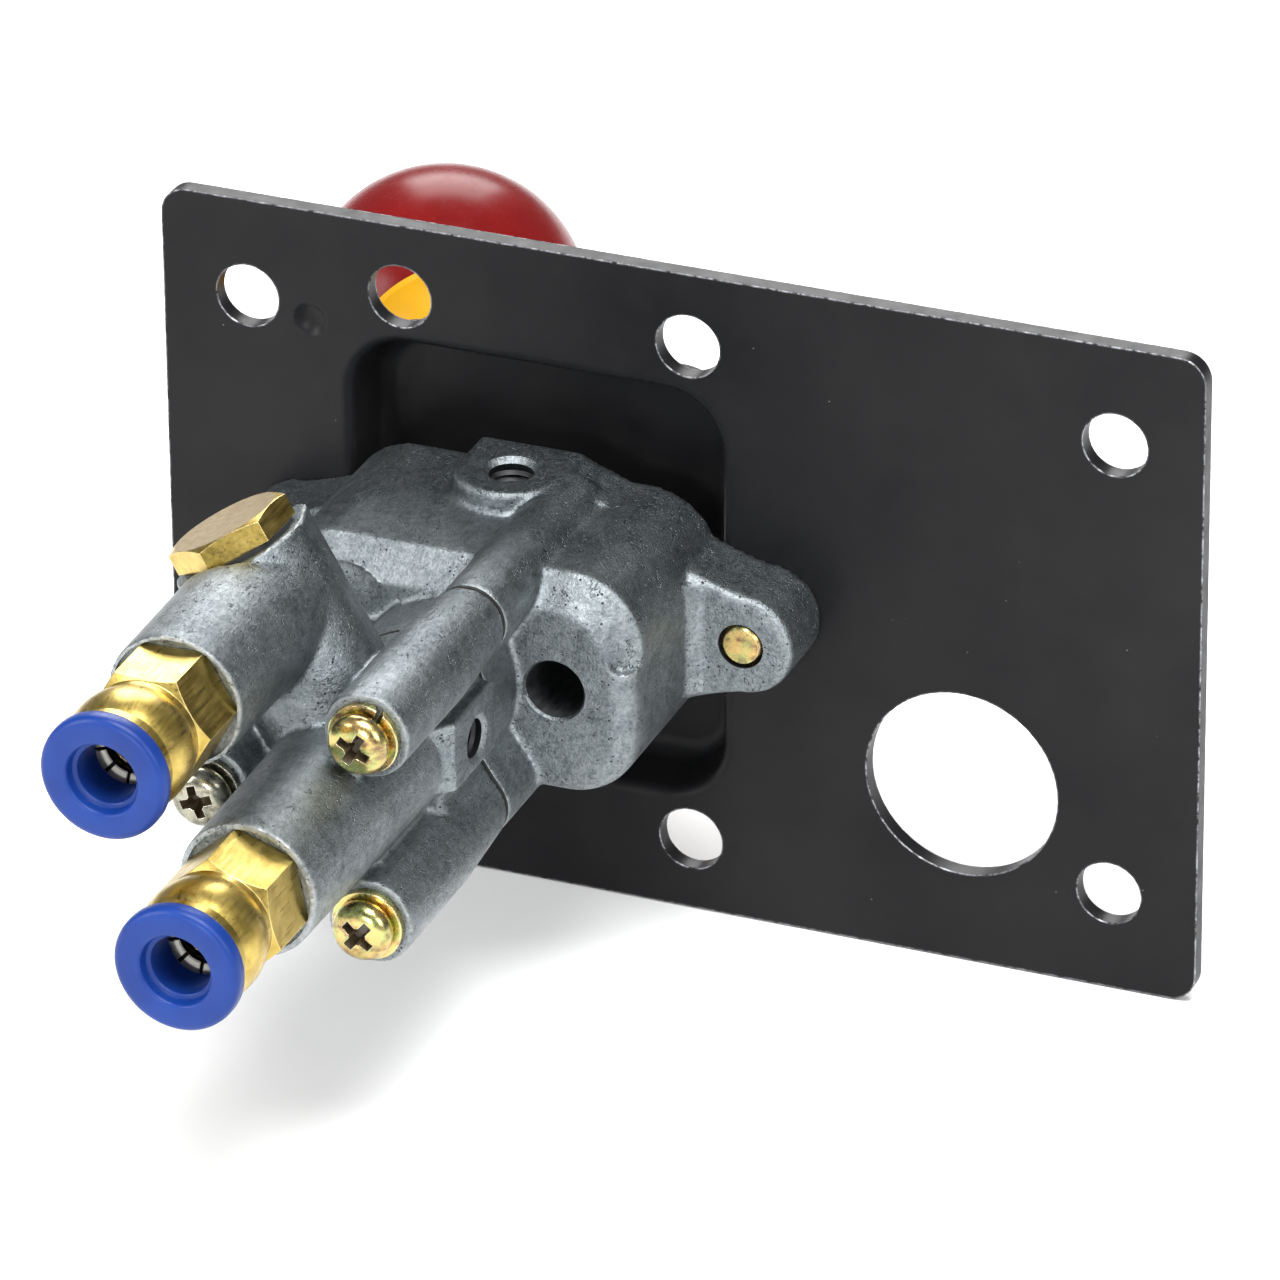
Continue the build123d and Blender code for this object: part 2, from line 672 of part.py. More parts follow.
def fitting_body(turn):
    hex_start = -hex_sink
    hex_end = hex_start + hex_length
    head = prism(RegularPolygon(hex_across_flats / 2, 6, major_radius=False, rotation=turn), hex_start, hex_end)
    chamfer_start = hex_end - hex_chamfer_height
    widest = hex_corner_radius + hex_chamfer_play
    crown = cone(widest, hex_corner_radius - hex_chamfer_reach, chamfer_start, hex_end)
    crown += rod(widest, hex_start, chamfer_start)
    head = head & crown
    neck = (shoulder_waist_radius, hex_end + shoulder_neck_length)
    crest = (shoulder_radius, (hex_end + shoulder_end) / 2)
    lip = (shoulder_lip_radius, shoulder_end - shoulder_lip_length)
    inner = Polyline(lip, (shoulder_lip_radius, shoulder_end), (0, shoulder_end), (0, hex_end - hex_sink),
                     (shoulder_waist_radius, hex_end - hex_sink), neck)
    half = make_face(Curve() + [inner, ThreePointArc(neck, crest, lip)])
    shoulder = revolve(Plane.XZ * half, Axis.Z)
    fitting = head + shoulder + rod(thread_shank_radius, -thread_shank_length, hex_start)
    fitting -= rod(collar_sleeve_radius + collar_sleeve_fit, sleeve_floor, shoulder_end)
    fitting -= rod(gripper_radius + gripper_play, sleeve_floor - gripper_thickness, sleeve_floor + gripper_play)
    seal_floor = sleeve_floor - gripper_thickness - 2 * tube_seal_section
    fitting -= rod(tube_radius + 2 * tube_seal_section + seal_play, seal_floor, sleeve_floor)
    fitting -= rod(tube_radius, -tube_stop_depth, sleeve_floor)
    fitting -= rod(flow_bore_radius, -thread_shank_length, 0)
    return fitting


def release_collar():
    """Flanged plastic sleeve that is pressed in to let the tube go."""
    flange = rod(collar_flange_radius, collar_face - collar_flange_thickness, collar_face)
    flange = fillet(flange.edges().group_by(Axis.Z)[-1], collar_flange_round)
    flange = fillet(flange.edges().group_by(Axis.Z)[0], collar_flange_edge)
    collar = flange + rod(collar_sleeve_radius, sleeve_end, collar_face - collar_flange_thickness)
    collar -= rod(tube_radius, sleeve_end, collar_face)
    collar -= cone(tube_radius, collar_lead_radius, collar_face - collar_lead_depth, collar_face)
    return collar


def gripper_ring():
    """Spring-steel ring with teeth that lean inwards and grip the tube."""
    ring = tube(gripper_radius, gripper_tip_radius, sleeve_floor - gripper_thickness, sleeve_floor)
    slot = Pos(gripper_tip_radius + gripper_slot_length / 2 - gripper_play, 0, sleeve_floor)
    slot *= Box(gripper_slot_length, gripper_slot_width, 4 * gripper_thickness)
    for i in range(gripper_teeth):
        ring -= Rot(0, 0, 360 / gripper_teeth * i) * slot
    return ring


def tube_seal():
    return ring_seal(tube_radius + tube_seal_section, tube_seal_section - seal_play,
                     sleeve_floor - gripper_thickness - tube_seal_section)


# Lever: hub with the cam, rod and ball knob, modelled upright towards -z and then tilted
def tilt(piece):
    return valve_frame * Pos(0, 0, pivot_depth) * Rot(0, lever_tilt, 0) * piece


def cam_outline():
    """Cam edge in the (across, along) plane: base circle, rise of the plunger stroke, dwell and return."""
    rise_per_degree = plunger_stroke / (2 * lever_tilt)
    step = 4
    points = []
    for i in range(0, 360, step):
        angle = i - 180
        if angle > lever_tilt or angle < -lever_tilt - 3 * cam_dwell:
            radius = cam_base_radius
        elif angle >= -lever_tilt:
            radius = cam_base_radius + rise_per_degree * (lever_tilt - angle)
        elif angle >= -lever_tilt - cam_dwell:
            radius = cam_base_radius + plunger_stroke
        else:
            past = (-lever_tilt - cam_dwell - angle) / (2 * cam_dwell)
            radius = cam_base_radius + plunger_stroke * 0.5 * (1 + math.cos(math.pi * past))
        points.append((-radius * math.sin(math.radians(angle)), radius * math.cos(math.radians(angle))))
    return points


def lever_hub():
    edge = Spline(cam_outline(), periodic=True)
    side = Plane(origin=(0, cam_thickness / 2, 0), x_dir=(1, 0, 0), z_dir=(0, -1, 0))
    cam = extrude(side * make_face(edge), cam_thickness)
    neck = rod(hub_neck_radius, -hub_neck_length, 0)
    bore = Rot(90, 0, 0) * Cylinder(pivot_pin_radius + pivot_clearance, cam_thickness + 2)
    socket = rod(lever_rod_radius + screwed_fit, -hub_neck_length, -rod_root)
    return tilt(cam + neck - bore - socket)


def lever_rod():
    end = lever_length - ball_radius + ball_hole_depth
    bar = rod(lever_rod_radius, -end + rod_end_gap, -rod_root - rod_end_gap)
    stop = collar_bottom - lever_length + collar_stop_gap
    shoulder = rod(collar_stop_radius, stop, stop + collar_stop_length)
    shoulder = chamfer(shoulder.edges(), collar_stop_chamfer)
    return tilt(bar + shoulder)


def ball_knob():
    ball = Sphere(ball_radius)
    ball += rod(ferrule_radius, ball_radius - ferrule_overlap, spring_seat)
    ball -= rod(lever_rod_radius + screwed_fit, ball_radius - ball_hole_depth, ball_radius + ferrule_length)
    return tilt(Pos(0, 0, -lever_length) * ball)


def lock_collar():
    """Finger-lift collar under the ball: a trumpet with a dished end and a slim sleeve."""
    dish_edge = math.sqrt(collar_dish_radius ** 2 - collar_rim_depth ** 2)
    dish_floor = math.sqrt(collar_dish_radius ** 2 - collar_spring_pocket_radius ** 2)
    mid_radius = collar_rim_radius * collar_dish_share
    dish_mid = math.sqrt(collar_dish_radius ** 2 - mid_radius ** 2)
    bore = lever_rod_radius + collar_bore_clearance
    dish = ThreePointArc((dish_edge, collar_rim_depth), (mid_radius, dish_mid),
                         (collar_spring_pocket_radius, dish_floor))
    inside = Polyline((collar_spring_pocket_radius, dish_floor),
                      (collar_spring_pocket_radius, collar_spring_floor),
                      (bore, collar_spring_floor), (bore, collar_bottom), (collar_neck_radius, collar_bottom))
    flare = Spline((collar_neck_radius, collar_bottom),
                   (collar_neck_radius + collar_neck_flare, collar_spring_floor),
                   (collar_rim_radius * collar_flare_share, collar_flange_root),
                   (collar_rim_radius, collar_rim_depth + collar_rim_thickness))
    rim = Polyline((collar_rim_radius, collar_rim_depth + collar_rim_thickness),
                   (collar_rim_radius, collar_rim_depth), (dish_edge, collar_rim_depth))
    collar = revolve(Plane.XZ * make_face(Curve() + [dish, inside, flare, rim]), Axis.Z)
    return tilt(Pos(0, 0, -lever_length) * collar)


def lock_spring():
    spring = coil_spring(lock_spring_mean_radius, lock_spring_wire, spring_seat + lock_spring_wire / 2,
                         collar_spring_floor - lock_spring_wire / 2, lock_spring_turns)
    return tilt(Pos(0, 0, -lever_length) * spring)


# Plunger and its seals
def plunger():
    nose_root = nose_depth + nose_radius
    nose = Pos(0, 0, nose_root) * Sphere(nose_radius)
    neck = cone(nose_radius, plunger_radius, nose_root, nose_root + nose_neck_length)
    stem = rod(plunger_radius, nose_root + nose_neck_length, flange_start + flange_thickness) + nose + neck
    stem += rod(flange_radius, flange_start, flange_start + flange_thickness)
    stem += rod(stem_radius, flange_start, tip_start)
    stem += rod(tip_radius, tip_start, tip_end)
    stem -= tube(plunger_radius + 1, plunger_radius - 2 * seal_section,
                 body_seal_depth - seal_section, body_seal_depth + seal_section)
    stem -= rod(exhaust_bore_radius, nose_root + exhaust_bore_setback, tip_end)
    cross = Rot(90, 0, 0) * Cylinder(exhaust_cross_radius, 2 * plunger_radius + 1)
    stem -= Pos(0, 0, nose_root + exhaust_cross_setback) * cross
    return valve_frame * stem


def plunger_seal():
    return valve_frame * ring_seal(plunger_radius - seal_section, seal_section - seal_play, body_seal_depth)


def return_spring():
    start = flange_start + flange_thickness + return_spring_wire / 2
    return valve_frame * coil_spring(return_spring_mean_radius, return_spring_wire, start,
                                     cap_chamber_end - return_spring_wire / 2, return_spring_turns)


# Inlet poppet and its spring
def inlet_poppet():
    face = seat_face_depth + seat_gap
    back = face + poppet_face_thickness + poppet_body_length
    body = rod(poppet_radius, face + poppet_face_thickness, back - poppet_shoulder)
    body += rod(poppet_guide_radius, back - poppet_shoulder, back + poppet_guide_length)
    for i in range(3):
        body -= Rot(0, 0, 120 * i) * rod(poppet_flute_radius, face, back, poppet_radius + poppet_flute_offset)
    return valve_frame * body


def poppet_face():
    face = seat_face_depth + seat_gap
    disc = rod(poppet_radius - poppet_face_inset, face, face + poppet_face_thickness)
    return valve_frame * disc


def poppet_spring():
    face = seat_face_depth + seat_gap
    back = face + poppet_face_thickness + poppet_body_length - poppet_shoulder
    end = supply_boss_end - thread_shank_length
    half_wire = poppet_spring_wire / 2
    return valve_frame * coil_spring(poppet_spring_mean_radius, poppet_spring_wire, back + half_wire,
                                     end - half_wire, poppet_spring_turns)


pieces = {
    "mounting_plate": mounting_plate(),
    "valve_body": valve_body(),
    "rear_cap": rear_cap(),
    "cap_gasket": cap_gasket(),
    "cap_screws": cap_screws(),
    "cap_lock_washers": cap_lock_washers(),
    "ear_screws": ear_screws(),
    "hex_plug": hex_plug(),
    "plug_seal": plug_seal(),
    "pivot_pin": pivot_pin(),
    "lever_hub": lever_hub(),
    "lever_rod": lever_rod(),
    "ball_knob": ball_knob(),
    "lock_collar": lock_collar(),
    "lock_spring": lock_spring(),
    "plunger": plunger(),
    "plunger_seal": plunger_seal(),
    "return_spring": return_spring(),
    "inlet_poppet": inlet_poppet(),
    "poppet_face": poppet_face(),
    "poppet_spring": poppet_spring(),
}
for port, (frame, turn) in fitting_frames().items():
    pieces[port + "_fitting"] = frame * fitting_body(turn)
    pieces[port + "_release_collar"] = frame * release_collar()
    pieces[port + "_gripper_ring"] = frame * gripper_ring()
    pieces[port + "_tube_seal"] = frame * tube_seal()

os.makedirs("parts", exist_ok=True)
for name, piece in pieces.items():
    export_step(piece, "parts/" + name + ".step")
    print(name, round(piece.volume, 1))
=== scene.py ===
import bpy
import json
import math
import numpy
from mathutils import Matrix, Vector

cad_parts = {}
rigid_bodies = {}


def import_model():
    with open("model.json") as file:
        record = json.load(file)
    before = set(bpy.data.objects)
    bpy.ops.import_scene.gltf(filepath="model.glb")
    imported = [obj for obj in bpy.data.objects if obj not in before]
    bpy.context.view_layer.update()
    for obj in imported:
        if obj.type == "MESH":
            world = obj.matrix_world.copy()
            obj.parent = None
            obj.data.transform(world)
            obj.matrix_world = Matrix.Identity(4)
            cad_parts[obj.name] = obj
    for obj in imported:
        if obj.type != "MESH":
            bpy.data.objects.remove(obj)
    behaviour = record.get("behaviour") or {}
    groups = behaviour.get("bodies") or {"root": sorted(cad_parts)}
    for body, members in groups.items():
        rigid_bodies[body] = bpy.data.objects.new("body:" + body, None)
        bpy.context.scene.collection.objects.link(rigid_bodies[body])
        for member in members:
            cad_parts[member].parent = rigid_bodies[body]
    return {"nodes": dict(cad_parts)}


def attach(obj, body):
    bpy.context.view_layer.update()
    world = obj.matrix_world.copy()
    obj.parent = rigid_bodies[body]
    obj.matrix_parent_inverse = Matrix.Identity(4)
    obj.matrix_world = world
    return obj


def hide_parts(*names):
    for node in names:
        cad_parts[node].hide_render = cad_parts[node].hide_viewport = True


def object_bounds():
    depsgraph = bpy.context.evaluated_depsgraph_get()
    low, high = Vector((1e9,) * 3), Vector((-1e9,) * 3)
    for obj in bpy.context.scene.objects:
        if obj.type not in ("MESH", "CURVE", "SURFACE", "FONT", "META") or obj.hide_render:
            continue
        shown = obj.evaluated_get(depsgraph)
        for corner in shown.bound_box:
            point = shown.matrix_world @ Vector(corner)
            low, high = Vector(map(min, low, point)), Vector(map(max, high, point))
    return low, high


# looks of the power take-off control valve, made around the solids of the frame
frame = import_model()
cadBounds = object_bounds()
nodes = frame["nodes"]
mm = 0.001
print("frame loaded with", len(nodes), "nodes")


# short forms of the shader nodes that every finish uses; sizes and depths are in millimetres
def newFinish(name, metallic=0.0):
    finish = bpy.data.materials.new(name)
    finish.use_nodes = True
    tree = finish.node_tree
    shader = tree.nodes["Principled BSDF"]
    shader.inputs["Metallic"].default_value = metallic
    place = tree.nodes.new("ShaderNodeTexCoord").outputs["Object"]
    return finish, tree, shader, place


def noise(tree, place, size, detail=2.0, rough=0.5, stretch=None):
    if stretch:
        mapping = tree.nodes.new("ShaderNodeMapping")
        mapping.inputs["Scale"].default_value = stretch
        tree.links.new(place, mapping.inputs["Vector"])
        place = mapping.outputs["Vector"]
    node = tree.nodes.new("ShaderNodeTexNoise")
    node.inputs["Scale"].default_value = 1 / (size * mm)
    node.inputs["Detail"].default_value = detail
    node.inputs["Roughness"].default_value = rough
    tree.links.new(place, node.inputs["Vector"])
    return node.outputs["Fac"]


# distance to the nearest of many scattered dots
def dots(tree, place, size):
    node = tree.nodes.new("ShaderNodeTexVoronoi")
    node.inputs["Scale"].default_value = 1 / (size * mm)
    tree.links.new(place, node.inputs["Vector"])
    return node.outputs["Distance"]


def span(tree, value, low, high, toLow=0.0, toHigh=1.0):
    node = tree.nodes.new("ShaderNodeMapRange")
    node.inputs["From Min"].default_value = low
    node.inputs["From Max"].default_value = high
    node.inputs["To Min"].default_value = toLow
    node.inputs["To Max"].default_value = toHigh
    tree.links.new(value, node.inputs["Value"])
    return node.outputs["Result"]


# the values that a noise mostly takes, and a little more of them
middle = (0.3, 0.7)
wide = (0.25, 0.75)


# arithmetic on values, each a plain number or a socket
def sums(tree, kind, first, second=0.0):
    node = tree.nodes.new("ShaderNodeMath")
    node.operation = kind
    for socket, value in zip(node.inputs, (first, second)):
        if isinstance(value, (int, float)):
            socket.default_value = value
        else:
            tree.links.new(value, socket)
    return node.outputs["Value"]


def blendColour(tree, share, first, second):
    node = tree.nodes.new("ShaderNodeMix")
    node.data_type = "RGBA"
    for name, value in (("A", first), ("B", second)):
        socket = [s for s in node.inputs if s.name == name and s.type == "RGBA"][0]
        if isinstance(value, tuple):
            socket.default_value = (*value, 1)
        else:
            tree.links.new(value, socket)
    tree.links.new(share, node.inputs["Factor"])
    return [s for s in node.outputs if s.type == "RGBA"][0]


def relief(tree, height, depth, strength=1.0, under=None):
    node = tree.nodes.new("ShaderNodeBump")
    node.inputs["Strength"].default_value = strength
    node.inputs["Distance"].default_value = depth * mm
    tree.links.new(height, node.inputs["Height"])
    if under:
        tree.links.new(under, node.inputs["Normal"])
    return node.outputs["Normal"]


def vectorSum(tree, kind, first, second):
    node = tree.nodes.new("ShaderNodeVectorMath")
    node.operation = kind
    tree.links.new(first, node.inputs[0])
    if isinstance(second, tuple):
        node.inputs[1].default_value = second
    else:
        tree.links.new(second, node.inputs[1])
    return node.outputs["Value"]


def finishWith(tree, shader, colour, roughness, normal):
    for value, name in ((colour, "Base Color"), (roughness, "Roughness"), (normal, "Normal")):
        tree.links.new(value, shader.inputs[name])


# small marks: dots of one size, kept only where a wider noise is high; kind tells which of the look's values
def sparseDots(tree, place, look, kind, detail):
    marks = span(tree, dots(tree, place, look[kind + "Size"]), *look[kind + "Reach"])
    patch = noise(tree, place, look[kind + "Patch"], detail=detail)
    return sums(tree, "MULTIPLY", marks, span(tree, patch, *look[kind + "Share"]))


# rounds the shading of crisp edges and tells where they are, from 0 on a face to 1 on an edge
edgeLook = dict(samples=6, flat=0.995, sharp=0.86)


def softEdge(tree, radius):
    bevel = tree.nodes.new("ShaderNodeBevel")
    bevel.samples = edgeLook["samples"]
    bevel.inputs["Radius"].default_value = radius * mm
    flat = tree.nodes.new("ShaderNodeNewGeometry").outputs["Normal"]
    alike = vectorSum(tree, "DOT_PRODUCT", bevel.outputs["Normal"], flat)
    return bevel.outputs["Normal"], span(tree, alike, edgeLook["flat"], edgeLook["sharp"])


# satin black coat on the steel plate, rubbed to bare metal along its edges; the pressed dimple keeps its coat
plateLook = dict(
    dark=(0.0042, 0.0043, 0.0051), light=(0.0095, 0.0093, 0.0100), cloudSize=22,
    rough=(0.30, 0.46), roughSize=2.4, gloss=0.13, peelSize=1.3, peelDepth=0.02, peelStrength=0.6,
    dust=(0.16, 0.16, 0.165), dustSize=2.1, dustReach=(0.045, 0.02), dustPatch=7, dustShare=(0.56, 0.6),
    edgeRadius=0.34, bare=(0.50, 0.51, 0.54), nickSize=1.1, worn=(0.42, 0.60),
    dimple=(0.0426, 0.0, 0.0254), dimpleReach=(2.89, 3.4))


def plateFinish():
    look = plateLook
    finish, tree, shader, place = newFinish("plateCoat")
    cloud = noise(tree, place, look["cloudSize"], detail=5, rough=0.6)
    fine = noise(tree, place, look["roughSize"], detail=4, rough=0.65)
    colour = blendColour(tree, span(tree, cloud, *middle), look["dark"], look["light"])
    colour = blendColour(tree, sparseDots(tree, place, look, "dust", detail=1), colour, look["dust"])
    soft, edge = softEdge(tree, look["edgeRadius"])
    nicks = span(tree, noise(tree, place, look["nickSize"], detail=5, rough=0.75), *look["worn"])
    bare = sums(tree, "MULTIPLY", edge, nicks)
    near, far = look["dimpleReach"]
    away = vectorSum(tree, "DISTANCE", place, look["dimple"])
    bare = sums(tree, "MULTIPLY", bare, span(tree, away, near * mm, far * mm))
    colour = blendColour(tree, bare, colour, look["bare"])
    tree.links.new(bare, shader.inputs["Metallic"])
    shader.inputs["Specular IOR Level"].default_value = look["gloss"]
    peel = noise(tree, place, look["peelSize"])
    finishWith(tree, shader, colour, span(tree, fine, *wide, *look["rough"]),
               relief(tree, peel, look["peelDepth"], look["peelStrength"], under=soft))
    return finish


# grey zinc casting: mottled skin, small pits, hairline scratches, rubbed edges and a painted highlight in the
# inner corners
castingLook = dict(
    dark=(0.085, 0.101, 0.109), light=(0.285, 0.313, 0.323), rough=(0.30, 0.54),
    blotchSize=1.5, blotchShare=0.4, patchSize=9.0, patchShare=0.2, waveDepth=0.10, toneSpan=(0.40, 0.60),
    speckleSize=0.42, speckleShare=0.4, speckleStretch=(1, 0.45, 1), grainSize=0.26, grainDepth=0.12,
    pit=(0.03, 0.034, 0.038), pitSize=0.62, pitReach=(0.24, 0.13), pitPatch=1.6, pitShare=(0.52, 0.58),
    pitDepth=0.10,
    # corner is a painted highlight: a pale colour laid where the skin bends inwards
    rim=(0.62, 0.64, 0.64), rimBend=(0.14, 0.50), corner=(0.58, 0.605, 0.61), cornerHighlightBend=(-0.14, -0.40),
    nickSize=0.9, nickSpan=(0.30, 0.62),
    scratchSize=0.5, scratchStretch=(1, 0.12, 0.6), scratchSpan=(0.55, 0.75), scratchDepth=0.03,
    hairSize=2.2, hairStretch=(1, 0.6, 1), hairWidth=(0.012, 0.002), hairPatch=2.8, hairShare=(0.53, 0.60),
    hairDark=0.7, hairDepth=0.05)


# thin wandering lines, where a stretched noise crosses its middle value
def hairlines(tree, place, look):
    swirl = noise(tree, place, look["hairSize"], detail=3, rough=0.6, stretch=look["hairStretch"])
    line = span(tree, sums(tree, "ABSOLUTE", sums(tree, "SUBTRACT", swirl, 0.5)), *look["hairWidth"])
    return sums(tree, "MULTIPLY", line, span(tree, noise(tree, place, look["hairPatch"]), *look["hairShare"]))


def castingFinish():
    look = castingLook
    finish, tree, shader, place = newFinish("zincCasting", metallic=1.0)
    blotch = noise(tree, place, look["blotchSize"], detail=8, rough=0.78)
    patch = noise(tree, place, look["patchSize"], detail=3)
    speckle = noise(tree, place, look["speckleSize"], detail=6, rough=0.8, stretch=look["speckleStretch"])
    grain = noise(tree, place, look["grainSize"], detail=4, rough=0.65)
    tone = sums(tree, "ADD", sums(tree, "MULTIPLY", blotch, look["blotchShare"]),
                sums(tree, "MULTIPLY", patch, look["patchShare"]))
    tone = sums(tree, "ADD", tone, sums(tree, "MULTIPLY", speckle, look["speckleShare"]))
    colour = blendColour(tree, span(tree, tone, *look["toneSpan"]), look["dark"], look["light"])
    pitted = sparseDots(tree, place, look, "pit", detail=3)
    colour = blendColour(tree, pitted, colour, look["pit"])
    bend = tree.nodes.new("ShaderNodeAttribute")
    bend.attribute_name = "bend"
    patchyWearAndHighlight = span(tree, noise(tree, place, look["nickSize"], detail=4, rough=0.7), *look["nickSpan"])
    # rim pales the rubbed edges as wear; corner paints a highlight into the inner corners; one patchy noise breaks
    # up both
    for name, reach in (("corner", look["cornerHighlightBend"]), ("rim", look["rimBend"])):
        share = sums(tree, "MULTIPLY", span(tree, bend.outputs["Fac"], *reach), patchyWearAndHighlight)
        colour = blendColour(tree, share, colour, look[name])
    hair = hairlines(tree, place, look)
    colour = blendColour(tree, sums(tree, "MULTIPLY", hair, look["hairDark"]), colour, look["pit"])
    scratches = noise(tree, place, look["scratchSize"], detail=3, rough=0.6, stretch=look["scratchStretch"])
    skin = relief(tree, blotch, look["waveDepth"], strength=0.6)
    skin = relief(tree, grain, look["grainDepth"], strength=0.8, under=skin)
    scratched = span(tree, scratches, *look["scratchSpan"])
    skin = relief(tree, scratched, look["scratchDepth"], strength=0.7, under=skin)
    skin = relief(tree, sums(tree, "SUBTRACT", 1.0, hair), look["hairDepth"], under=skin)
    skin = relief(tree, sums(tree, "SUBTRACT", 1.0, pitted), look["pitDepth"], under=skin)
    finishWith(tree, shader, colour, span(tree, grain, *wide, *look["rough"]), skin)
    return finish


# near-black walls of the drilled ports: painted shade inside the holes
shadedBoreLook = dict(dark=(0.012, 0.013, 0.014), light=(0.035, 0.037, 0.04), rough=(0.35, 0.6), metallic=0.6,
                grainSize=0.5, grainStretch=(1, 0.3, 1), grainDepth=0.02)


def shadedBoreFinish():
    look = shadedBoreLook
    finish, tree, shader, place = newFinish("paintedShadeBore", metallic=look["metallic"])
    grain = noise(tree, place, look["grainSize"], detail=4, rough=0.6, stretch=look["grainStretch"])
    colour = blendColour(tree, span(tree, grain, *middle), look["dark"], look["light"])
    rough = span(tree, grain, *middle, *look["rough"])
    finishWith(tree, shader, colour, rough, relief(tree, grain, look["grainDepth"], strength=0.5))
    return finish


# turned and milled brass; a face that looks along top is a flat sawn one, paler and duller
brassLook = dict(
    dark=(0.33, 0.235, 0.05), light=(0.56, 0.42, 0.125), blotchSize=2.6,
    rough=(0.26, 0.42), lineSize=0.35, lineStretch=(1, 0.08, 1), lineDepth=0.006,
    edge=(0.95, 0.78, 0.42), edgeRadius=0.16, edgeShare=0.6,
    nick=(0.10, 0.06, 0.02), nickSize=0.8, nickReach=(0.12, 0.05), nickPatch=1.7, nickShare=(0.54, 0.6),
    topDark=(0.24, 0.175, 0.10), topLight=(0.52, 0.43, 0.28), topFacing=(0.97, 0.995), topRough=0.22,
    swirlSize=0.5, swirlStretch=(0.2, 1, 1))


def brassFinish(name, top=None):
    look = brassLook
    finish, tree, shader, place = newFinish(name, metallic=1.0)
    blotch = noise(tree, place, look["blotchSize"], detail=4, rough=0.6)
    lines = noise(tree, place, look["lineSize"], stretch=look["lineStretch"])
    colour = blendColour(tree, span(tree, blotch, *middle), look["dark"], look["light"])
    colour = blendColour(tree, sparseDots(tree, place, look, "nick", detail=2), colour, look["nick"])
    soft, edge = softEdge(tree, look["edgeRadius"])
    colour = blendColour(tree, sums(tree, "MULTIPLY", edge, look["edgeShare"]), colour, look["edge"])
    rough = span(tree, lines, *middle, *look["rough"])
    if top:
        faces = tree.nodes.new("ShaderNodeNewGeometry").outputs["Normal"]
        isTop = span(tree, vectorSum(tree, "DOT_PRODUCT", faces, top), *look["topFacing"])
        swirl = noise(tree, place, look["swirlSize"], detail=3, stretch=look["swirlStretch"])
        colour = blendColour(tree, isTop, colour, blendColour(tree, swirl, look["topDark"], look["topLight"]))
        rough = sums(tree, "ADD", rough, sums(tree, "MULTIPLY", isTop, look["topRough"]))
    finishWith(tree, shader, colour, rough, relief(tree, lines, look["lineDepth"], strength=0.5, under=soft))
    return finish


# zinc plated screws with a yellow passivated sheen that turns green and brown; one of them is plain grey
yellowLook = dict(
    gold=(0.60, 0.42, 0.16), green=(0.40, 0.43, 0.16), brown=(0.20, 0.13, 0.075), edge=(0.90, 0.84, 0.66),
    rough=(0.16, 0.34), edgeRadius=0.14, edgeShare=0.7, tintSize=1.7, tintSpan=(0.40, 0.60),
    stainSize=2.1, stainStretch=(1, 1, 1.3), stainSpan=(0.50, 0.66), grimeSize=0.6, grimeDepth=0.015)
greyLook = dict(yellowLook, gold=(0.34, 0.32, 0.25), green=(0.20, 0.205, 0.16), brown=(0.09, 0.08, 0.065),
                edge=(0.86, 0.85, 0.78), rough=(0.14, 0.32))


def screwFinish(name, look):
    finish, tree, shader, place = newFinish(name, metallic=1.0)
    tint = noise(tree, place, look["tintSize"], detail=3, rough=0.55)
    stain = noise(tree, place, look["stainSize"], detail=4, rough=0.6, stretch=look["stainStretch"])
    grime = noise(tree, place, look["grimeSize"], detail=4, rough=0.7)
    colour = blendColour(tree, span(tree, tint, *look["tintSpan"]), look["gold"], look["green"])
    colour = blendColour(tree, span(tree, stain, *look["stainSpan"]), colour, look["brown"])
    soft, edge = softEdge(tree, look["edgeRadius"])
    colour = blendColour(tree, sums(tree, "MULTIPLY", edge, look["edgeShare"]), colour, look["edge"])
    rough = span(tree, grime, *middle, *look["rough"])
    finishWith(tree, shader, colour, rough, relief(tree, grime, look["grimeDepth"], strength=0.5, under=soft))
    return finish


# plain steel of the springs and the rod
steelLook = dict(dark=(0.30, 0.30, 0.305), light=(0.56, 0.56, 0.565), rough=(0.2, 0.38), blotchSize=2.0,
                 lineSize=0.5, lineStretch=(1, 0.15, 1), lineDepth=0.01)


def steelFinish():
    look = steelLook
    finish, tree, shader, place = newFinish("plainSteel", metallic=1.0)
    blotch = noise(tree, place, look["blotchSize"], detail=4)
    lines = noise(tree, place, look["lineSize"], detail=3, stretch=look["lineStretch"])
    colour = blendColour(tree, span(tree, blotch, *middle), look["dark"], look["light"])
    rough = span(tree, lines, *middle, *look["rough"])
    finishWith(tree, shader, colour, rough, relief(tree, lines, look["lineDepth"], strength=0.4))
    return finish


